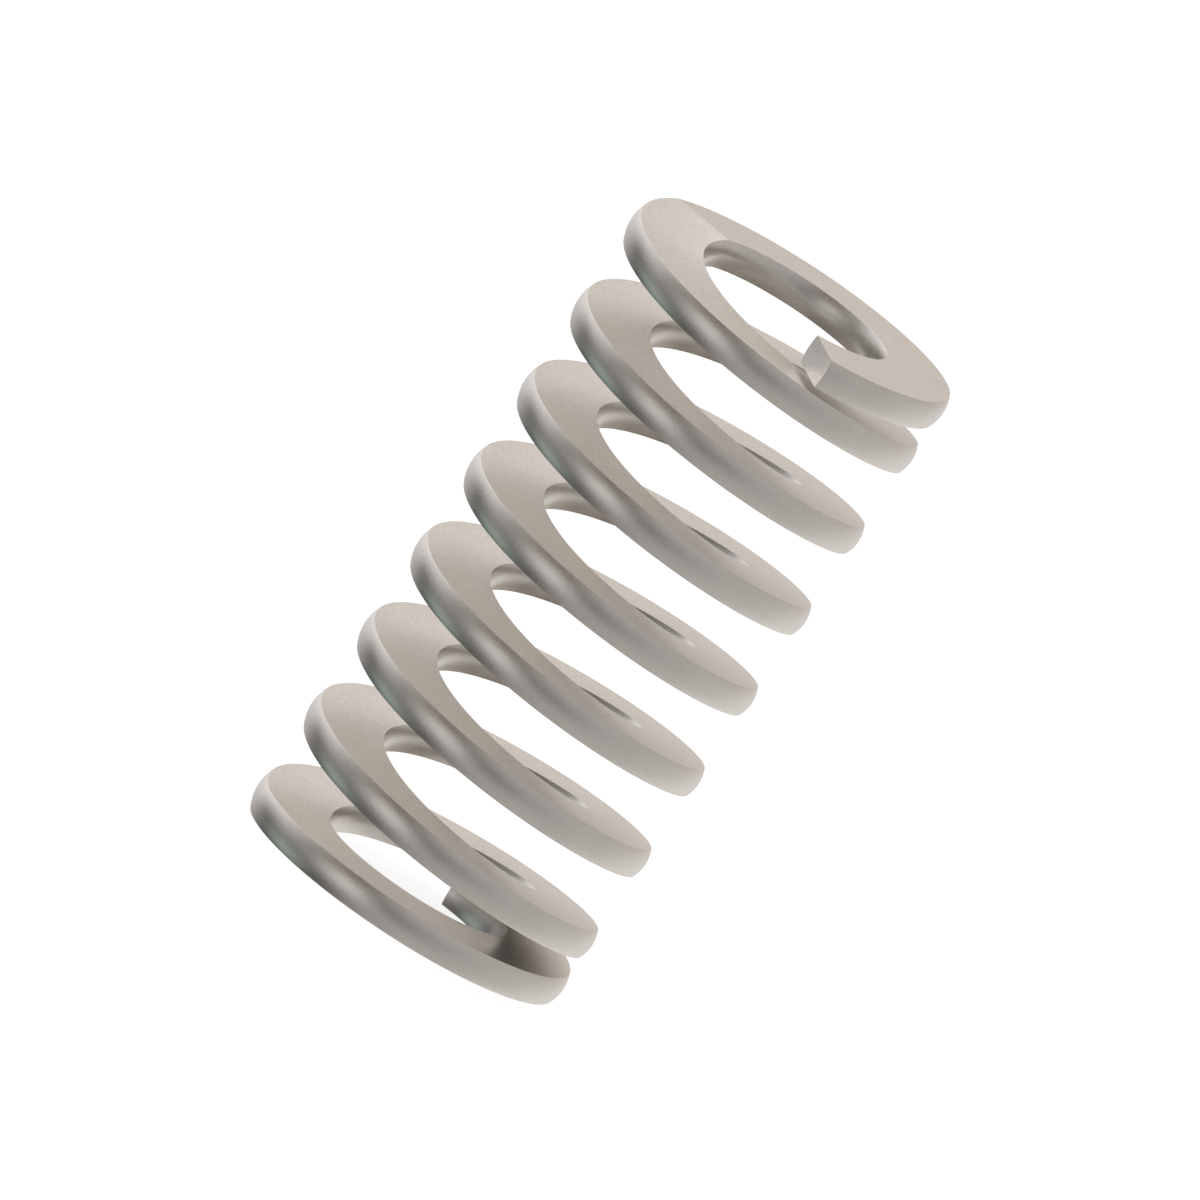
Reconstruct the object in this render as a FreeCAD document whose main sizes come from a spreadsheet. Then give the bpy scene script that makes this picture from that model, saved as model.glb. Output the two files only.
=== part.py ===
import FreeCAD, Part
import math
import os
import Sketcher

# Flat-wire compression spring with closed, flat end coils.
# Its axis is Z. It stands on its lower end coil at z = 0, with the origin at the centre of that face.
# It is wound left-handed: seen from above, the wire climbs clockwise.
# Every half plane through the axis cuts the wire in one and the same upright section.

NODE = "compression_spring"

# Driving sizes, in millimetres, turns and degrees.
DRIVING_SIZES = [
    ("outer_diameter", "25", "over the crowned outer edge of the wire"),
    ("wire_width", "5.58", "radial width of the wire, over both crowned edges"),
    ("wire_thickness", "2.2", "thickness of the wire along the axis"),
    ("edge_crown", "0.25", "height of a crowned edge over its two corners"),
    ("free_length", "50", "from the lower end face to the upper one"),
    ("active_turns", "7.125", "turns of even pitch between the two closed coils"),
    ("lower_tip_gap", "0.1", "from the lower wire tip to the coil above it"),
    ("upper_tip_gap", "0.43", "from the upper wire tip to the coil below it"),
    ("lower_tip_angle", "70.5", "where the lower wire tip ends, anticlockwise from X"),
]

# Sizes that follow from them. A closed coil lies flat from where the even pitch ends to its tip,
# and its tip stops short of a full turn, where the next coil has risen clear of it.
RISE = "(Sizes.free_length - Sizes.wire_thickness)"
PITCH = f"({RISE} / Sizes.active_turns)"
LOWER_COIL_ANGLE = f"(360 * (1 - (Sizes.wire_thickness + Sizes.lower_tip_gap) / {PITCH}))"
UPPER_COIL_ANGLE = f"(360 * (1 - (Sizes.wire_thickness + Sizes.upper_tip_gap) / {PITCH}))"
LOWER_SECTION_ANGLE = f"(Sizes.lower_tip_angle - {LOWER_COIL_ANGLE})"
UPPER_SECTION_ANGLE = f"({LOWER_SECTION_ANGLE} - 360 * Sizes.active_turns)"
OUTER_CORNER = "(Sizes.outer_diameter / 2 - Sizes.edge_crown)"
INNER_CORNER = "(Sizes.outer_diameter / 2 - Sizes.wire_width + Sizes.edge_crown)"
EDGE_RADIUS = "((Sizes.wire_thickness ^ 2 / 4 + Sizes.edge_crown ^ 2) / (2 * Sizes.edge_crown))"

# The two ends of a sketch's line or arc, and the sketch's own origin and horizontal axis.
START, END = 1, 2
SKETCH_ORIGIN = (-1, 1)
SKETCH_X_AXIS = -1


def make_sizes(document):
    """The table of driving sizes, one row each: name, value and meaning."""
    sheet = document.addObject("Spreadsheet::Sheet", "Sizes")
    for row, (name, value, meaning) in enumerate(DRIVING_SIZES, start=1):
        sheet.set(f"A{row}", name)
        sheet.set(f"B{row}", value)
        sheet.setAlias(f"B{row}", name)
        sheet.set(f"C{row}", meaning)
    document.recompute()
    return sheet


def crowned_edge(centre_x, centre_y, radius, middle_angle, reach):
    """An arc that bulges towards middle_angle and reaches as far to either side of it."""
    circle = Part.Circle(FreeCAD.Vector(centre_x, centre_y, 0), FreeCAD.Vector(0, 0, 1), radius)
    return Part.ArcOfCircle(circle, middle_angle - reach, middle_angle + reach)


def wire_section(body, sizes, name, angle, height):
    """The wire's section in the half plane at that angle, its lower flat at that height."""
    sketch = body.newObject("Sketcher::SketchObject", name)
    upright_plane = next(plane for plane in body.Origin.OriginFeatures if plane.Role == "XZ_Plane")
    sketch.AttachmentSupport = [(upright_plane, "")]
    sketch.MapMode = "FlatFace"
    about_spring_axis = FreeCAD.Rotation(FreeCAD.Vector(0, 1, 0), 1)
    sketch.AttachmentOffset = FreeCAD.Placement(FreeCAD.Vector(0, 0, 0), about_spring_axis)
    sketch.setExpression("AttachmentOffset.Rotation.Angle", f"{angle} * 1 deg")
    sketch.setExpression("AttachmentOffset.Base.y", f"{height} * 1 mm")

    thickness = sizes.wire_thickness
    crown = sizes.edge_crown
    outer = sizes.outer_diameter / 2 - crown
    inner = sizes.outer_diameter / 2 - sizes.wire_width + crown
    radius = (thickness**2 / 4 + crown**2) / (2 * crown)
    reach = math.asin(thickness / 2 / radius)
    corners = [
        FreeCAD.Vector(inner, 0, 0),
        FreeCAD.Vector(outer, 0, 0),
        FreeCAD.Vector(outer, thickness, 0),
        FreeCAD.Vector(inner, thickness, 0),
    ]
    lower_flat = sketch.addGeometry(Part.LineSegment(corners[0], corners[1]))
    outer_edge = sketch.addGeometry(
        crowned_edge(outer + crown - radius, thickness / 2, radius, 0, reach)
    )
    upper_flat = sketch.addGeometry(Part.LineSegment(corners[2], corners[3]))
    inner_edge = sketch.addGeometry(
        crowned_edge(inner - crown + radius, thickness / 2, radius, math.pi, reach)
    )

    ring = [lower_flat, outer_edge, upper_flat, inner_edge]
    for here, following in zip(ring, ring[1:] + ring[:1]):
        sketch.addConstraint(Sketcher.Constraint("Coincident", here, END, following, START))
    sketch.addConstraint(Sketcher.Constraint("PointOnObject", lower_flat, START, SKETCH_X_AXIS))
    sketch.addConstraint(Sketcher.Constraint("Horizontal", lower_flat))
    sketch.addConstraint(Sketcher.Constraint("Horizontal", upper_flat))
    sketch.addConstraint(Sketcher.Constraint("Equal", lower_flat, upper_flat))
    sketch.addConstraint(Sketcher.Constraint("Equal", outer_edge, inner_edge))
    sized = [
        ("inner_corner", ("DistanceX", *SKETCH_ORIGIN, lower_flat, START, inner), INNER_CORNER),
        ("outer_corner", ("DistanceX", *SKETCH_ORIGIN, lower_flat, END, outer), OUTER_CORNER),
        ("upper_corner", ("DistanceX", *SKETCH_ORIGIN, upper_flat, START, outer), OUTER_CORNER),
        ("thickness", ("DistanceY", lower_flat, END, upper_flat, START, thickness), "Sizes.wire_thickness"),
        ("edge_radius", ("Radius", outer_edge, radius), EDGE_RADIUS),
    ]
    for label, constraint, size in sized:
        sketch.renameConstraint(sketch.addConstraint(Sketcher.Constraint(*constraint)), label)
        sketch.setExpression(f"Constraints.{label}", f"{size} * 1 mm")
    return sketch


def closed_coil(body, name, section, angle, clockwise):
    """A flat end coil: the section turned about the spring's axis, away from the active coils."""
    coil = body.newObject("PartDesign::Revolution", name)
    coil.Profile = section
    coil.ReferenceAxis = (section, ["V_Axis"])
    coil.Reversed = clockwise
    coil.setExpression("Angle", f"{angle} * 1 deg")
    return coil


def active_coils(body, section):
    """The open coils: the section led up a left-hand helix of even pitch."""
    coils = body.newObject("PartDesign::AdditiveHelix", "active_coils")
    coils.Profile = section
    coils.ReferenceAxis = (section, ["V_Axis"])
    coils.Mode = "height-turns-angle"
    coils.LeftHanded = True
    coils.setExpression("Height", f"{RISE} * 1 mm")
    coils.setExpression("Turns", "Sizes.active_turns")
    return coils


def make_spring(document, sizes):
    """The whole spring, one length of wire: lower closed coil, active coils, upper closed coil."""
    body = document.addObject("PartDesign::Body", NODE)
    body.Label = NODE
    body.Placement = FreeCAD.Placement()
    lower_section = wire_section(body, sizes, "lower_section", LOWER_SECTION_ANGLE, "0")
    active_coils(body, lower_section)
    closed_coil(body, "lower_closed_coil", lower_section, LOWER_COIL_ANGLE, clockwise=False)
    upper_section = wire_section(body, sizes, "upper_section", UPPER_SECTION_ANGLE, RISE)
    upper_coil = closed_coil(body, "upper_closed_coil", upper_section, UPPER_COIL_ANGLE, clockwise=True)
    body.Tip = upper_coil
    return body


def check(document, body):
    """Stops before anything is written if a feature failed or the spring isn't one sound solid."""
    failed = [item.Label for item in document.Objects if {"Invalid", "Error"} & set(item.State)]
    if failed:
        raise RuntimeError(f"failed features: {failed}")
    if body.Shape.isNull() or not body.Shape.isValid():
        raise RuntimeError("the spring's shape is not valid")
    if len(body.Shape.Solids) != 1:
        raise RuntimeError("the spring is not one solid")


def main():
    document = FreeCAD.newDocument("compression_spring")
    sizes = make_sizes(document)
    spring = make_spring(document, sizes)
    document.recompute()
    check(document, spring)
    os.makedirs("parts", exist_ok=True)
    spring.Shape.exportStep(f"parts/{spring.Label}.step")


main()
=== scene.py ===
import math
from collections import namedtuple

import bpy
import numpy as np
from mathutils import Matrix, Vector


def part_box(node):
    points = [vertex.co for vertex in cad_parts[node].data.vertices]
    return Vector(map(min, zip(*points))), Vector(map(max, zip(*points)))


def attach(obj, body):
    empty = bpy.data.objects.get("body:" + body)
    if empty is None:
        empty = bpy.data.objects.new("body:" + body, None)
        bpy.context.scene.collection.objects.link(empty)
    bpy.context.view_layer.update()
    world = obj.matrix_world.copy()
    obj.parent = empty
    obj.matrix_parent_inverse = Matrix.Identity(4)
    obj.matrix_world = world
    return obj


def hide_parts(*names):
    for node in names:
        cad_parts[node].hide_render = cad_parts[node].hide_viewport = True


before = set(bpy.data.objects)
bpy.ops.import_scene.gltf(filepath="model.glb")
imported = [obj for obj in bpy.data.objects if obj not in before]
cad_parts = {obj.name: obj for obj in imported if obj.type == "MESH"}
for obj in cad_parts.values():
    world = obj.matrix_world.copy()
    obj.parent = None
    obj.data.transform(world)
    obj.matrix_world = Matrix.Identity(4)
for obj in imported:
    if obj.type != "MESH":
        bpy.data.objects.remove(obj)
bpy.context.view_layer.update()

MM = 0.001
NODE = "compression_spring"

# The wire, in millimetres, turns and radians. Its outer diameter and length are read from the part's box in
# model.glb.
WIRE_WIDTH = 5.58
WIRE_THICKNESS = 2.2
EDGE_CROWN = 0.25
ACTIVE_TURNS = 7.125
LOWER_TIP_GAP = 0.1
UPPER_TIP_GAP = 0.43
LOWER_TIP_ANGLE = math.radians(70.5)
CORNER_BREAK = 0.02
TIP_BREAK = 0.015

# The mesh: rings of points across the wire, and steps along each part of its section.
RINGS_PER_TURN = 144
FLAT_STEPS = 6
CROWN_STEPS = 10
CORNER_STEPS = 3
TIP_STEPS = 3

# One ring: its turn from the lower tip, how far it is drawn in, how far its normals tilt along the wire,
# and the wire's rise per turn there.
Ring = namedtuple("Ring", "turn inset tilt pitch")

# The view, in pixels of the whole picture, radians and metres. The spring's axis leans across the picture,
# so the camera is rolled about its line of sight.
CAMERA_ELEVATION = math.radians(11.328)
CAMERA_ROLL = math.radians(33.401)
CAMERA_DISTANCE = 0.4
CLIP_START = 0.004
CLIP_END = 4.0
PICTURE_PX = 1200
DIAMETER_PX = 367.86
AIM_HEIGHT = 24.843 * MM
AIM_RIGHT_PX = 1.412
AIM_UP_PX = 1.938

# The steel. A fine matt grain, stronger on the flats and the tips' faces than on the crowned edges, and
# faint clouds shift its colour and roughness. Scales are per metre.
STEEL_LIGHTER = (0.94, 0.90, 0.85, 1.0)
STEEL_DARKER = (0.58, 0.56, 0.53, 1.0)
STEEL_ROUGHNESS = 0.3
ROUGHNESS_SWING = 0.05
GRAIN_SCALE = 5500.0
GRAIN_DETAIL = 2.0
GRAIN_ON_FLATS = 1.25
GRAIN_ON_EDGES = 0.4
GRAIN_HEIGHT = 0.01 * MM
CLOUD_SCALE = 300.0
CLOUD_DETAIL = 3.0
CLOUD_SHARE = 0.25
MIDDLE_TONE = 0.5
LEVEL_PART = (1.0, 1.0, 0.0)

# The studio's light by direction, in degrees: azimuth 90 is behind the spring and 270 towards the camera.
# Boxes, the strip and the glow add light to the room's level and dark cards take it away, each fading out
# over its spreads.
SoftLight = namedtuple("SoftLight", "name azimuth elevation spread_across spread_up strength colour")
PLAIN = (1.0, 0.98, 0.97)
DAYLIGHT = (1.0, 1.0, 1.04)
WARM = (1.0, 0.9, 0.8)
COOL = (0.9, 1.0, 1.15)
TEAL = (0.88, 1.0, 0.97)
BLACK = (0.0, 0.0, 0.0)
ROOM_COLOUR = (0.49, 0.47, 0.46)
SOFT_LIGHTS = (
    SoftLight("box_back_left", 125, 40, 45, 45, 0.95, DAYLIGHT),
    SoftLight("box_back_low", 80, -50, 65, 45, 1.35, PLAIN),
    SoftLight("strip_front_left", 235, 5, 20, 25, 1.1, PLAIN),
    SoftLight("glow_left", 170, -35, 25, 15, 0.75, TEAL),
    SoftLight("card_back", 85, 15, 35, 15, -0.43, COOL),
    SoftLight("card_left", 150, -5, 15, 15, -0.4, PLAIN),
    SoftLight("card_low_left", 125, -40, 85, 30, -1.25, PLAIN),
    SoftLight("card_over_strip", 235, 20, 25, 25, -0.8, DAYLIGHT),
    SoftLight("card_at_camera", 255, 0, 50, 20, -0.3, WARM),
    SoftLight("card_beside_strip", 195, 15, 10, 20, -0.15, DAYLIGHT),
)

# The floor, in metres, and the white that the camera sees behind the spring.
WHITE = (1.0, 1.0, 1.0, 1.0)
FLOOR_RADIUS = 0.7
FLOOR_SEGMENTS = 96
FLOOR_COLOUR = (0.4, 0.4, 0.4, 1.0)
FLOOR_ROUGHNESS = 1.0
FLOOR_SPECULAR = 0.0
FLOOR_WHITE = 0.85

# A colour mix's sockets by number, because it has others of the same names.
MIX_A, MIX_B, MIX_RESULT = 6, 7, 2


def steps(start, end, count):
    """Evenly spaced values from start up to, but not with, end."""
    return start + (end - start) * np.arange(count) / count


def arc(centre_r, centre_z, radius, start, end, count):
    """An arc's points but its last, as rows of distance from the axis, height and normal angle."""
    angle = steps(start, end, count)
    return centre_r + radius * np.cos(angle), centre_z + radius * np.sin(angle), angle


def flat(start_r, end_r, height, angle):
    """A flat's points but its last, as rows like an arc's."""
    r = steps(start_r, end_r, FLAT_STEPS)
    return r, np.full_like(r, height), np.full_like(r, angle)


def section(outer_radius):
    """The wire's upright section, anticlockwise from the foot of its outer crown, in rows like an arc's."""
    half = WIRE_THICKNESS / 2
    crown = (half**2 + EDGE_CROWN**2) / (2 * EDGE_CROWN)
    reach = math.asin((half - CORNER_BREAK) / (crown - CORNER_BREAK))
    outer = outer_radius - crown
    inner = outer_radius - WIRE_WIDTH + crown
    aside = (crown - CORNER_BREAK) * math.cos(reach)
    outer_corner, inner_corner, corner_z = outer + aside, inner - aside, half - CORNER_BREAK
    up, inward, down, turn = math.pi / 2, math.pi, 3 * math.pi / 2, 2 * math.pi
    sides = (
        arc(outer, 0, crown, -reach, reach, CROWN_STEPS),
        arc(outer_corner, corner_z, CORNER_BREAK, reach, up, CORNER_STEPS),
        flat(outer_corner, inner_corner, half, up),
        arc(inner_corner, corner_z, CORNER_BREAK, up, inward - reach, CORNER_STEPS),
        arc(inner, 0, crown, inward - reach, inward + reach, CROWN_STEPS),
        arc(inner_corner, -corner_z, CORNER_BREAK, inward + reach, down, CORNER_STEPS),
        flat(inner_corner, outer_corner, -half, down),
        arc(outer_corner, -corner_z, CORNER_BREAK, down, turn - reach, CORNER_STEPS),
    )
    return np.concatenate(sides, axis=1)


def plain_rings(start, end, pitch):
    """Rings of the full section from one turn to another."""
    count = max(2, round((end - start) * RINGS_PER_TURN) + 1)
    return [Ring(turn, 0.0, 0.0, pitch) for turn in np.linspace(start, end, count)]


def tip_rings(outer_radius):
    """The rings that round a tip's edge, from the tip's face inwards: turn from the tip, inset and tilt."""
    middle = 2 * math.pi * (outer_radius - WIRE_WIDTH / 2)
    tilt = np.linspace(math.pi / 2, 0, TIP_STEPS + 1)
    return list(zip(TIP_BREAK * (1 - np.sin(tilt)) / middle, TIP_BREAK * (1 - np.cos(tilt)), tilt))


def stretches(outer_radius, pitch, lower, upper):
    """The rings of the lower closed coil, active coils and upper closed coil. Neighbours share a ring."""
    total = lower + ACTIVE_TURNS + upper
    tip = tip_rings(outer_radius)
    inside_tip = tip[-1][0]
    lower_tip = [Ring(turn, inset, -tilt, 0.0) for turn, inset, tilt in tip]
    upper_tip = [Ring(total - turn, inset, tilt, 0.0) for turn, inset, tilt in tip[::-1]]
    return (
        lower_tip + plain_rings(inside_tip, lower, 0.0)[1:],
        plain_rings(lower, lower + ACTIVE_TURNS, pitch),
        plain_rings(lower + ACTIVE_TURNS, total - inside_tip, 0.0)[:-1] + upper_tip,
    )


def directions(turn):
    """Away from the spring's axis and along the wire, level, at that turn."""
    phi = LOWER_TIP_ANGLE - 2 * math.pi * turn
    return np.array([math.cos(phi), math.sin(phi), 0]), np.array([math.sin(phi), -math.cos(phi), 0])


def ring_shape(ring, profile, centre_z):
    """The points and the exact normals of one ring across the wire."""
    r, dz, angle = profile
    out, along = directions(ring.turn)
    r = r - ring.inset * np.cos(angle)
    z = centre_z + dz - ring.inset * np.sin(angle)
    lean = ring.pitch / (2 * math.pi * r) * np.sin(angle)
    normal = np.cos(angle)[:, None] * out - lean[:, None] * along
    normal[:, 2] += np.sin(angle)
    normal /= np.linalg.norm(normal, axis=1)[:, None]
    tilted = normal * math.cos(ring.tilt) + along * math.sin(ring.tilt)
    return np.column_stack([r * out[0], r * out[1], z]), tilted


def spring_mesh(diameter, length):
    """The flat-wire helix between its two closed coils, in metres, with exact normals."""
    pitch = (length - WIRE_THICKNESS) / ACTIVE_TURNS
    lower = 1 - (WIRE_THICKNESS + LOWER_TIP_GAP) / pitch
    upper = 1 - (WIRE_THICKNESS + UPPER_TIP_GAP) / pitch
    profile = section(diameter / 2)
    side = np.arange(profile.shape[1])
    after = np.roll(side, -1)
    points, faces, normals = [], [], []
    for stretch in stretches(diameter / 2, pitch, lower, upper):
        climbed = [min(max(ring.turn - lower, 0), ACTIVE_TURNS) * pitch for ring in stretch]
        shapes = [ring_shape(ring, profile, WIRE_THICKNESS / 2 + z) for ring, z in zip(stretch, climbed)]
        points = points[:-1] + [ring_points for ring_points, _ in shapes]
        first = (len(points) - len(shapes)) * len(side)
        for number, ((_, near), (_, far)) in enumerate(zip(shapes, shapes[1:])):
            here = first + number * len(side)
            beyond = here + len(side)
            quads = [here + side, here + after, beyond + after, beyond + side]
            faces += np.column_stack(quads).tolist()
            corners = np.stack([near[side], near[after], far[after], far[side]], axis=1)
            normals.append(corners.reshape(-1, 3))
    faces += [side[::-1].tolist(), ((len(points) - 1) * len(side) + side).tolist()]
    for turn, sign in ((0, -1), (lower + ACTIVE_TURNS + upper, 1)):
        normals.append(np.tile(sign * directions(turn)[1], (len(side), 1)))
    mesh = bpy.data.meshes.new(NODE + "_wire")
    mesh.from_pydata(np.concatenate(points) * MM, [], faces)
    mesh.shade_smooth()
    mesh.normals_split_custom_set(np.concatenate(normals).tolist())
    return mesh


def make_spring():
    low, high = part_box(NODE)
    diameter, length = (high[0] - low[0]) / MM, (high[2] - low[2]) / MM
    spring = bpy.data.objects.new(NODE + "_wire", spring_mesh(diameter, length))
    bpy.context.scene.collection.objects.link(spring)
    spring.data.materials.append(spring_steel())
    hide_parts(NODE)
    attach(spring, "root")


def node(tree, kind, inputs=(), **settings):
    """Adds a node and sets its properties and inputs: a socket is linked, anything else is a value."""
    made = tree.nodes.new(kind)
    for name, value in settings.items():
        setattr(made, name, value)
    for name, value in dict(inputs).items():
        if isinstance(value, bpy.types.NodeSocket):
            tree.links.new(value, made.inputs[name])
        else:
            made.inputs[name].default_value = value
    return made


def maths(tree, operation, *values):
    return node(tree, "ShaderNodeMath", enumerate(values), operation=operation).outputs[0]


def vector_maths(tree, operation, inputs, result="Vector"):
    return node(tree, "ShaderNodeVectorMath", inputs, operation=operation).outputs[result]


def noise(tree, place, scale, detail):
    inputs = {"Vector": place, "Scale": scale, "Detail": detail}
    return node(tree, "ShaderNodeTexNoise", inputs).outputs["Fac"]


def colour_mix(tree, factor, a, b):
    """Mixes two colours, each a socket or a value."""
    mix = node(tree, "ShaderNodeMix", {"Factor": factor}, data_type="RGBA")
    for socket, colour in ((mix.inputs[MIX_A], a), (mix.inputs[MIX_B], b)):
        if isinstance(colour, bpy.types.NodeSocket):
            tree.links.new(colour, socket)
        else:
            socket.default_value = colour
    return mix.outputs[MIX_RESULT]


def steel_tone(tree, grain, cloud, place, normal):
    """Darker to lighter around the middle: the clouds and the grain, which is weaker on crowned edges."""
    outward = vector_maths(tree, "MULTIPLY", {0: place, 1: LEVEL_PART})
    outward = vector_maths(tree, "NORMALIZE", {0: outward})
    facing = vector_maths(tree, "DOT_PRODUCT", {0: outward, 1: normal}, "Value")
    edge = maths(tree, "MULTIPLY", facing, facing)
    amount = maths(tree, "MULTIPLY_ADD", edge, GRAIN_ON_EDGES - GRAIN_ON_FLATS, GRAIN_ON_FLATS)
    clouds = maths(tree, "MULTIPLY_ADD", cloud, CLOUD_SHARE, MIDDLE_TONE * (1 - CLOUD_SHARE))
    return maths(tree, "MULTIPLY_ADD", maths(tree, "SUBTRACT", grain, MIDDLE_TONE), amount, clouds)


def spring_steel():
    """Satin spring steel: a fine matt grain with faint cloudy variation."""
    material = bpy.data.materials.new("spring_steel_satin")
    material.use_nodes = True
    tree = material.node_tree
    shader = tree.nodes["Principled BSDF"]
    shader.inputs["Metallic"].default_value = 1.0
    surface = node(tree, "ShaderNodeTexCoord").outputs
    grain = noise(tree, surface["Object"], GRAIN_SCALE, GRAIN_DETAIL)
    cloud = noise(tree, surface["Object"], CLOUD_SCALE, CLOUD_DETAIL)
    tone = steel_tone(tree, grain, cloud, surface["Object"], surface["Normal"])
    tree.links.new(colour_mix(tree, tone, STEEL_DARKER, STEEL_LIGHTER), shader.inputs["Base Color"])
    smoothest, roughest = STEEL_ROUGHNESS - ROUGHNESS_SWING, STEEL_ROUGHNESS + ROUGHNESS_SWING
    rough = node(tree, "ShaderNodeMapRange", {"Value": tone, "To Min": smoothest, "To Max": roughest})
    tree.links.new(rough.outputs["Result"], shader.inputs["Roughness"])
    bump = node(tree, "ShaderNodeBump", {"Height": grain, "Distance": GRAIN_HEIGHT})
    tree.links.new(bump.outputs["Normal"], shader.inputs["Normal"])
    return material


def studio_colour(tree, direction):
    """The studio's light by direction: a plain room level and the soft lights added to it."""
    x, y, z = node(tree, "ShaderNodeSeparateXYZ", {"Vector": direction}).outputs
    azimuth = maths(tree, "ARCTAN2", y, x)
    elevation = maths(tree, "ARCSINE", z)
    total = ROOM_COLOUR
    for light in SOFT_LIGHTS:
        across = maths(tree, "SUBTRACT", azimuth, math.radians(light.azimuth))
        across = maths(tree, "WRAP", across, math.pi, -math.pi)
        across = maths(tree, "DIVIDE", across, math.radians(light.spread_across))
        up = maths(tree, "SUBTRACT", elevation, math.radians(light.elevation))
        up = maths(tree, "DIVIDE", up, math.radians(light.spread_up))
        away = maths(tree, "MULTIPLY_ADD", across, across, maths(tree, "MULTIPLY", up, up))
        level = maths(tree, "EXPONENT", maths(tree, "MULTIPLY", away, -1.0))
        level = maths(tree, "MULTIPLY", level, light.strength)
        glow = vector_maths(tree, "SCALE", {0: light.colour, "Scale": level})
        total = vector_maths(tree, "ADD", {0: total, 1: glow})
    return vector_maths(tree, "MAXIMUM", {0: total, 1: BLACK})


def make_studio():
    """Lights the scene from the studio's own colours, and shows the camera plain white."""
    world = bpy.data.worlds.new("studio")
    bpy.context.scene.world = world
    world.use_nodes = True
    tree = world.node_tree
    camera = node(tree, "ShaderNodeLightPath").outputs["Is Camera Ray"]
    direction = node(tree, "ShaderNodeTexCoord").outputs["Generated"]
    colour = colour_mix(tree, camera, studio_colour(tree, direction), WHITE)
    tree.links.new(colour, tree.nodes["Background"].inputs["Color"])


def floor_material():
    """A pale floor that the camera sees as white apart from the spring's shadow."""
    material = bpy.data.materials.new("pale_floor")
    material.use_nodes = True
    tree = material.node_tree
    shader = tree.nodes["Principled BSDF"]
    shader.inputs["Base Color"].default_value = FLOOR_COLOUR
    shader.inputs["Roughness"].default_value = FLOOR_ROUGHNESS
    shader.inputs["Specular IOR Level"].default_value = FLOOR_SPECULAR
    shader.inputs["Emission Color"].default_value = WHITE
    camera = node(tree, "ShaderNodeLightPath").outputs["Is Camera Ray"]
    tree.links.new(maths(tree, "MULTIPLY", camera, FLOOR_WHITE), shader.inputs["Emission Strength"])
    return material


def make_floor():
    angles = steps(0, 2 * math.pi, FLOOR_SEGMENTS)
    rim = [(FLOOR_RADIUS * math.cos(a), FLOOR_RADIUS * math.sin(a), 0) for a in angles]
    mesh = bpy.data.meshes.new("floor")
    mesh.from_pydata(rim, [], [tuple(range(FLOOR_SEGMENTS))])
    mesh.materials.append(floor_material())
    floor = bpy.data.objects.new("floor", mesh)
    bpy.context.scene.collection.objects.link(floor)
    floor.visible_glossy = False


def make_camera():
    low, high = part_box(NODE)
    pixel = (high[0] - low[0]) / DIAMETER_PX
    view = Vector((0, math.cos(CAMERA_ELEVATION), -math.sin(CAMERA_ELEVATION)))
    level_right = Vector((1, 0, 0))
    level_up = level_right.cross(view)
    right = level_right * math.cos(CAMERA_ROLL) + level_up * math.sin(CAMERA_ROLL)
    up = level_up * math.cos(CAMERA_ROLL) - level_right * math.sin(CAMERA_ROLL)
    centre = Vector((0, 0, AIM_HEIGHT)) + (right * AIM_RIGHT_PX + up * AIM_UP_PX) * pixel
    data = bpy.data.cameras.new("camera")
    data.type = "ORTHO"
    data.ortho_scale = PICTURE_PX * pixel
    data.clip_start, data.clip_end = CLIP_START, CLIP_END
    camera = bpy.data.objects.new("camera", data)
    place = centre - view * CAMERA_DISTANCE
    turned = Matrix((right, up, -view)).transposed().to_4x4()
    camera.matrix_world = Matrix.Translation(place) @ turned
    bpy.context.scene.collection.objects.link(camera)
    bpy.context.scene.camera = camera


bpy.context.scene.view_settings.view_transform = "Standard"
make_spring()
make_floor()
make_studio()
make_camera()
